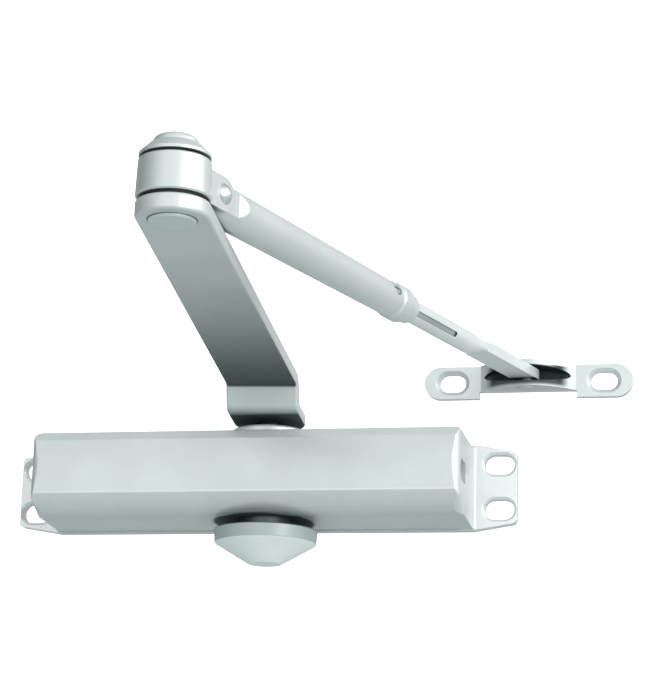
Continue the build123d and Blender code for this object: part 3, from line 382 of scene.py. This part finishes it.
# The end plug of the cylinder and the seal rings.
# The plug is turned steel, screwed into the left end. The ring behind it is nitrile rubber, and so
# are the rings around the two bearing plugs.
cylinder_y, cylinder_z = -24.0 * mm, -0.5 * mm
cylinder_line = ((0.0, cylinder_y, cylinder_z), (1.0, 0.0, 0.0))
end_steel = plated(
    "end_plug_steel", (0.50, 0.53, 0.55), dull=0.34, edge_round=0.25, marks=2.0, lathe=cylinder_line
)
dress(end_steel, "cylinder_end_plug")


def rubber(name):
    """Black rubber: dull, with a fine grain and paler dust."""
    material, shader, place = finish(name)
    dust_and_shadow = place.cloud(1.2, 5.0).spread(0.45, 0.8)
    base = (dust_and_shadow * 0.4).mix(tone(0.012, 0.012, 0.013), tone(0.05, 0.05, 0.05))
    bumped = bump(place, place.cloud(0.1, 2.0), 0.02)
    apply(shader, Base_Color=base, Roughness=0.55 + dust_and_shadow * 0.2, Normal=bumped)
    return material


nitrile = rubber("seal_rubber")
dress(nitrile, "end_plug_seal", "upper_seal", "lower_seal")


# The two bearing plugs, above and below the pinion, turned from steel.
# The upper one ends in the round flange under the arm's hub and has a bright, pale coat. The lower
# one is the boss that carries the cap, between the cap and the casting; it is tinted dark and given
# a strong painted shade, for the shade of that gap.
spindle = (6.0 * mm, -24.0 * mm)
spindle_line = ((*spindle, 0.0), upright)
flange_steel = painted(
    "flange_steel", (0.86, 0.91, 0.905), metal=0.30, dull=0.30, peel=0.2, edge_round=0.6,
    shade=(2.0, 0.55, 0.5),
)
dress(flange_steel, "upper_bearing_plug")
boss_steel = plated(
    "boss_steel", (0.30, 0.34, 0.34), dull=0.45, edge_round=0.3, marks=2.0, lathe=spindle_line,
    shade=(12.0, 0.05, 1.0),
)
dress(boss_steel, "lower_bearing_plug")


# The bushings in the bearing plugs.
# They are sintered bronze, pressed in, with pores that hold oil for the shaft. The small plug that
# holds the check ball in the piston is of the same bronze.
def bronze(name):
    """Sintered bronze: a warm metal with fine dark pores."""
    material, shader, place = finish(name)
    pores = place.cloud(0.18, 3.0).spread(0.55, 0.75)
    base = pores.mix(tone(0.52, 0.30, 0.12), tone(0.20, 0.11, 0.05))
    bumped = bump(place, 1 - pores, 0.02)
    apply(shader, Base_Color=base, Metallic=1.0, Roughness=0.38 + pores * 0.25, Normal=bumped)
    return material


sintered = bronze("bearing_bronze")
dress(sintered, "upper_bushing", "lower_bushing", "check_valve_plug")


# The pinion shaft, cut from one bar with its teeth and its square end.
# It is hardened and ground steel, grey and oily, and so is the check ball.
# Its hollows take a strong painted shade.
hardened = plated(
    "hardened_steel", (0.42, 0.43, 0.45), dull=0.22, edge_round=0.15, marks=0.6,
    shade=(14.0, 0.10, 1.0),
)
dress(hardened, "pinion_shaft", "check_ball")


# The piston, with its window and the rack along it.
# It is cast iron, machined all over, and always wet with oil.
iron = plated("piston_iron", (0.24, 0.24, 0.245), dull=0.36, edge_round=0.25, marks=2.5)
dress(iron, "piston")


# The closing spring, between the end plug and the piston.
# It is oil-hardened wire wound with a closed turn at each end, and its ends are ground flat.
def surface(name, points):
    """A mesh from rows of points, each row joined to the next and closed around, with its seams
    and poles merged: corners that round to the same place are one, and flat triangles go."""
    rows, columns = points.shape[:2]
    row = np.arange(rows - 1)[:, None]
    column = np.arange(columns)[None, :]
    next_column = (column + 1) % columns
    corners = np.stack([
        row * columns + column,
        row * columns + next_column,
        (row + 1) * columns + next_column,
        (row + 1) * columns + column,
    ], axis=-1).reshape(-1, 4)
    flat = points.reshape(-1, 3)
    _, first, index = np.unique(np.round(flat, 8), axis=0, return_index=True, return_inverse=True)
    corners = index.reshape(-1)[corners]
    faces = np.concatenate([corners[:, [0, 1, 2]], corners[:, [0, 2, 3]]])
    whole = (
        (faces[:, 0] != faces[:, 1]) & (faces[:, 1] != faces[:, 2]) & (faces[:, 2] != faces[:, 0])
    )
    mesh = bpy.data.meshes.new(name)
    mesh.from_pydata(flat[first].tolist(), [], faces[whole].tolist())
    mesh.shade_smooth()
    mesh.set_sharp_from_angle(angle=radians(40))
    piece = bpy.data.objects.new(name, mesh)
    bpy.context.scene.collection.objects.link(piece)
    return piece


def closing_coil(left, right, coil, wire, turns):
    """A helix around the cylinder's line, with closed end turns: x grows by little more than the
    wire in the first and last turn and evenly between, and a circle of the wire's radius is carried
    along it. The ends are cut flat by limiting x."""
    turn = np.linspace(0, turns, turns * 48 + 1)
    lead_end = 1.03 * 2 * wire
    lead_mid = (right - left - 2 * lead_end) / (turns - 2)
    x = left + np.interp(
        turn,
        [0, 1, turns - 1, turns],
        [0, lead_end, lead_end + lead_mid * (turns - 2), right - left],
    )
    angle = 2 * pi * turn
    outward = np.stack([0 * angle, np.cos(angle), np.sin(angle)], axis=-1)
    centre = np.stack(
        [x, cylinder_y + coil * np.cos(angle), cylinder_z + coil * np.sin(angle)], axis=-1
    )
    side = np.array([1.0, 0.0, 0.0])
    turned = np.linspace(0, 2 * pi, 24, endpoint=False)[None, :, None]
    tube = centre[:, None] + wire * (
        np.cos(turned) * outward[:, None] + np.sin(turned) * side[None, None]
    )
    ground = 0.55 * wire
    tube[..., 0] = np.clip(tube[..., 0], left - ground, right + ground)
    start, end = tube[:1].mean(axis=1, keepdims=True), tube[-1:].mean(axis=1, keepdims=True)
    ends = np.ones((1, tube.shape[1], 1))
    return np.concatenate([start * ends, tube, end * ends])


spring = surface(
    "wound_spring",
    closing_coil(
        left=-76.2 * mm, right=-15.45 * mm, coil=9.2 * mm, wire=1.4 * mm, turns=12
    ),
)
spring_steel = plated("spring_steel", (0.20, 0.20, 0.21), dull=0.32, edge_round=0.1, marks=1.5)
spring.data.materials.append(spring_steel)
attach(spring, "closer_body")
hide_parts("closing_spring")
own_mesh(spring)


# The cap over the lower bearing.
# It is a cone moulded in pale grey plastic with a straight band around its rim, smoother and
# glossier than the paint, and is pressed over the boss.
band_foot, band_top = -27.0 * mm, -21.3 * mm


def rim_band(place):
    """Above the height of the cone's upper edge: the band, painted darker as painted shade and a
    little coarser, and darkest at its upper rim, as a painted shadow of the gap."""
    level = place.along(upright)
    mask = level.spread(band_foot, band_foot + 0.3 * mm)
    # Painted shadow of the gap along the upper rim.
    dust_and_shadow = level.spread(band_top - 0.6 * mm, band_top)
    colour = dust_and_shadow.mix(tone(0.42, 0.48, 0.48), tone(0.05, 0.08, 0.08))
    return mask, colour, place.cloud(0.3, 2.0), 0.34, 0.0


cap_plastic = painted(
    "cap_plastic", (0.85, 0.90, 0.89), metal=0.05, dull=0.26, peel=0.1, edge_round=0.6,
    shade=(30.0, 0.16, 0.62), patch=rim_band,
)
dress(cap_plastic, "spindle_cap")


# The main arm.
# It is forged and bent steel bar with the same silver paint, sits on the square of the pinion and
# is painted darkest under its hub and in the inside of the bend, as painted shade.
elbow = Vector((0.029579, -0.268867, 0.0469))


def painted_underside_shade(place):
    """Painted shade on the underside, darker towards the bend: grows along y up to the riser, on
    the faces whose normal points down, and lies in a thin ring around the elbow's stud as a painted
    outline shadow. Under the hub it starts again, weak at the riser's foot and strong at the
    flange."""
    depth = place.along((0, 1, 0))
    near = depth.spread(-260.0 * mm, -40.0 * mm)
    under = place.node("ShaderNodeNewGeometry", output=1).along((0, 0, -1)).spread(0.5, 0.9)
    ring = place.away((elbow.x, elbow.y, 0.0), upright).spread(8.3 * mm, 7.9 * mm)
    below_arm = place.along(upright).spread(29.0 * mm, 27.0 * mm)
    less_shade = depth.spread(-42.0 * mm, -46.5 * mm) * below_arm
    # Painted shade: its mask, with a dark colour below.
    mask = near.most(ring * 0.8) * under * (1 - less_shade * 0.72)
    return mask * 0.97, tone(0.035, 0.055, 0.055), place.cloud(0.3, 2.0), 0.75, 0.0


arm_paint = painted(
    "arm_paint", silver, metal=0.35, dull=0.32, peel=0.8, edge_round=0.4, shade=(14.0, 0.20, 0.93),
    patch=painted_underside_shade,
)
dress(arm_paint, "main_arm")


# The washer and the hexagon screw that hold the arm on its square.
# Both are zinc plated steel. The screw is cold headed, with a turned chamfer and a dished top, and
# its thread is rolled.
def hexagon_screw(axis, seat, flat, height, turn, shank, length, pitch):
    """Rings around an upright axis. Up the shank the radius falls from the crest by a clipped
    triangle wave of height over pitch less the turn. Up the head it is the smaller of a hexagon,
    which is half the flat width over the cosine of the angle from the nearest side's middle, and a
    chamfer cone of 30 degrees. The top dips into a shallow dish."""
    angle = turn + np.linspace(0, 2 * pi, 96, endpoint=False)
    hexagon = flat / 2 / np.cos((angle - turn) % (pi / 3) - pi / 6)
    top, collar, chamfer = seat + height, 0.93 * flat / 2, 0.95 * flat / 2
    collar_height, chamfer_height = 0.3 * mm, 0.8 * mm
    dish_rim, dish_floor = top - 0.22 * mm, top - 0.30 * mm
    neck = 0.92 * shank

    rise = np.linspace(seat - length, seat - pitch, round((length - pitch) / pitch * 8))[:, None]
    phase = ((rise - seat) / pitch - angle / (2 * pi)) % 1
    groove = np.clip(1.4 * np.abs(2 * phase - 1) - 0.2, 0, 1) * 0.55 * pitch
    pointed = shank - 0.6 * pitch + (rise - seat + length)
    thread = np.minimum(shank - groove, pointed)

    cone_rise = np.linspace(top - chamfer_height, top, 9)[:, None]
    cone = np.minimum(hexagon, chamfer + (top - cone_rise) / np.tan(pi / 6))
    ring = np.ones((1, angle.size))
    rows = [
        (0 * ring, seat - length),
        (thread, rise),
        (neck * ring, seat - 0.7 * pitch),
        (neck * ring, seat),
        (collar * ring, seat),
        (collar * ring, seat + collar_height),
        (hexagon[None], seat + collar_height),
        (cone, cone_rise),
        (0.72 * chamfer * ring, top),
        (0.62 * chamfer * ring, dish_rim),
        (0.30 * chamfer * ring, dish_floor),
        (0 * ring, dish_floor),
    ]
    radius = np.concatenate([row[0] for row in rows])
    level = np.concatenate([row[1] + 0 * row[0] for row in rows])
    return np.stack(
        [axis[0] + radius * np.cos(angle), axis[1] + radius * np.sin(angle), level], axis=-1
    )


arm_turn = radians(-84.5)
hexagon_head = surface(
    "hexagon_screw",
    hexagon_screw(
        spindle, seat=30 * mm, flat=10 * mm, height=4 * mm, turn=arm_turn,
        shank=2.98 * mm, length=9.5 * mm, pitch=1 * mm,
    ),
)
hexagon_head.data.materials.append(zinc)
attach(hexagon_head, "arm_and_spindle")
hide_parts("arm_screw")
dress(zinc, "arm_washer")


# The elbow.
# A stud is riveted into the arm and carries, from below, a dark wear washer, the knuckle with its
# fork and a conical cap. The stud's button stands on top, and all but the washer are painted.
stud_paint = painted(
    "stud_paint", (0.66, 0.72, 0.715), metal=0.45, dull=0.28, peel=0.2, edge_round=0.5,
    shade=(3.0, 0.3, 0.9),
)
dress(stud_paint, "elbow_stud")
washer_dark = rubber("washer_dark")
dress(washer_dark, "elbow_washer")
knuckle_paint = painted(
    "knuckle_paint", silver, metal=0.45, dull=0.30, peel=0.5, edge_round=0.35,
    shade=(5.0, 0.30, 0.75),
)
dress(knuckle_paint, "elbow_cap", "elbow_knuckle")


# The tilting pin through the knuckle's fork and the forearm.
# It is turned steel, riveted at its ends and left bright.
forearm_way = Vector((0.301932, 0.953330, 0.0))
pin_way = Vector((0.953330, -0.301932, 0.0))
pin_from_elbow = 18.2 * mm
pin_line = (tuple(elbow + pin_from_elbow * forearm_way), tuple(pin_way))
pin_steel = plated(
    "pin_steel", (0.70, 0.745, 0.745), dull=0.30, edge_round=0.3, marks=1.0, lathe=pin_line
)
dress(pin_steel, "tilt_pin")


# The forearm: a drawn steel tube closed and flattened at the fork, with a lip at its open end,
# and the lock screw sunk in its side.
tube_paint = painted(
    "tube_paint", silver, metal=0.40, dull=0.30, peel=0.6, edge_round=0.4, shade=(5.0, 0.25, 0.85)
)
dress(tube_paint, "forearm_sleeve")
dress(zinc, "lock_screw")


# The adjusting rod, which slides in the sleeve.
# It is round bar, pressed flat into an eye at the foot, with a long milled groove. The groove's
# floor is cut across with fine teeth, so that the lock screw can't slip.
groove_lean = radians(-25)
groove_way = cos(groove_lean) * pin_way + sin(groove_lean) * Vector(upright)
groove_end = 200.0 * mm


def dark_groove(place):
    """Inside the bar's own radius, on the groove's side and before the flattened end: the groove's
    walls and floor, painted darker as painted shade."""
    outward, forward = tuple(groove_way), tuple(forearm_way)
    deep = place.away(tuple(elbow), forward).spread(4.26 * mm, 4.10 * mm)
    facing = (place.along(outward) - elbow.dot(groove_way)).spread(2.7 * mm, 2.9 * mm)
    reach = place.along(forward) - elbow.dot(forearm_way)
    before = reach.spread(groove_end + 0.2 * mm, groove_end - 0.2 * mm)
    return deep * facing * before, tone(0.16, 0.20, 0.20), place.cloud(0.4, 2.0), 0.5, 0.0


rod_paint = painted(
    "rod_paint", (0.76, 0.81, 0.805), metal=0.40, dull=0.32, peel=0.7, edge_round=0.4,
    shade=(5.0, 0.3, 0.85), patch=dark_groove,
)
dress(rod_paint, "adjusting_rod")


def groove_teeth(start, floor, half_width, pitch, count, low, high):
    """A strip along the groove's floor. Its height is a triangle wave of the distance along the
    rod, from the low to the high value, and a rectangle of that height is carried along it."""
    step = np.arange(8 * count + 1) / 8
    height = low + (high - low) * np.abs(2 * (step % 1) - 1)
    level = np.array([1.0, 1.0, 0.0, 0.0]) * height[:, None] + floor
    side = np.array([-half_width, half_width, half_width, -half_width])[None] + 0 * level
    reach = (start + pitch * step)[:, None] + 0 * level
    forward, outward = np.array(forearm_way), np.array(groove_way)
    across = np.cross(forward, outward)
    strip = (
        np.array(elbow)
        + reach[..., None] * forward
        + level[..., None] * outward
        + side[..., None] * across
    )
    ends = np.ones((1, 4, 1))
    first = strip[:1].mean(axis=1, keepdims=True) * ends
    last = strip[-1:].mean(axis=1, keepdims=True) * ends
    return np.concatenate([first, strip, last])


teeth = surface(
    "rod_teeth",
    groove_teeth(
        start=146 * mm, floor=3.4 * mm, half_width=1.05 * mm, pitch=2 * mm, count=25,
        low=0.06 * mm, high=0.75 * mm,
    ),
)
# The teeth are painted dark grey, as painted shade of the groove they lie in.
teeth_paint = painted(
    "teeth_paint", (0.36, 0.40, 0.395), metal=0.50, dull=0.34, peel=0.2, edge_round=0.1,
    shade=(2.5, 0.12, 1.0),
)
teeth.data.materials.append(teeth_paint)
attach(teeth, "rod")


# The foot bracket.
# It is pressed from steel strip: two slotted ears lie on the frame and two lips between them hold
# the rod's eye on a rivet. It is painted as the arm is, and painted dark inside its mouth as
# painted shade.
foot_pivot = (112.2 * mm, -8.0 * mm)
bar_foot, bar_top = 41.3 * mm, 52.5 * mm
mouth_floor, mouth_roof, mouth_half = 43.4 * mm, 50.4 * mm, 18.2 * mm


def painted_mouth_shade(place):
    """Painted shade in the mouth: between the lips' inner faces, deeper than their noses and within
    the width of the mouth, but not on the flat back, and weaker up the front of the lower lip."""
    level = place.along(upright)
    between = level.spread(mouth_floor - 0.3 * mm, mouth_floor + 0.1 * mm)
    between = between * level.spread(mouth_roof + 0.3 * mm, mouth_roof - 0.1 * mm)
    depth = place.along((0, 1, 0))
    deep = depth.spread(-13.0 * mm, -9.0 * mm) * depth.spread(-1.6 * mm, -2.2 * mm)
    aside = (place.along((1, 0, 0)) - foot_pivot[0]).unsigned()
    inside = aside.spread(mouth_half + 0.2 * mm, mouth_half - 4.2 * mm)
    lip_shade = level.spread(mouth_floor - 2.6 * mm, mouth_floor - 0.4 * mm)
    lip_shade = lip_shade * level.spread(46.0 * mm, 45.0 * mm) * depth.spread(-3.0 * mm, -5.0 * mm)
    mask = (between * deep).most(lip_shade * 0.95) * inside
    return mask * 0.96, tone(0.02, 0.03, 0.03), place.cloud(0.5, 2.0), 0.8, 0.0


foot_paint = painted(
    "foot_paint", (0.66, 0.71, 0.703), metal=0.35, dull=0.32, peel=0.8, edge_round=0.4,
    shade=(14.0, 0.17, 1.0), patch=painted_mouth_shade,
)
dress(foot_paint, "foot_bracket")


# The rivet of the foot, which holds the rod's eye between the lips.
# It is soft steel, closed with a snap that leaves a dome and a small dimple.
def snapped_rivet(axis, low, high, shank, head, rise):
    """A profile turned about an upright axis: each head is a quarter ellipse from rim to crown,
    less a dimple that fades as a bell curve of the radius."""
    turn = np.linspace(0, 2 * pi, 64, endpoint=False)[None]
    arc = np.linspace(0, pi / 2, 16)
    dimple, dimple_radius = 0.3 * mm, 1.2 * mm
    dome = head * np.sin(arc)
    crown = rise * np.cos(arc) - dimple * np.exp(-((dome / dimple_radius) ** 2))
    radius = np.concatenate([dome, [shank, shank], dome[::-1]])[:, None]
    level = np.concatenate([low - crown, [low, high], (high + crown)[::-1]])[:, None]
    return np.stack(
        [axis[0] + radius * np.cos(turn), axis[1] + radius * np.sin(turn), level + 0 * turn],
        axis=-1,
    )


foot_line = ((*foot_pivot, 0.0), upright)
foot_rivet_steel = plated(
    "foot_rivet_steel", (0.66, 0.70, 0.70), dull=0.32, edge_round=0.3, marks=1.2, lathe=foot_line
)
rivet = surface(
    "domed_rivet",
    snapped_rivet(foot_pivot, bar_foot, bar_top, shank=3 * mm, head=4.4 * mm, rise=1.2 * mm),
)
rivet.data.materials.append(foot_rivet_steel)
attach(rivet, "foot")
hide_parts("foot_rivet")
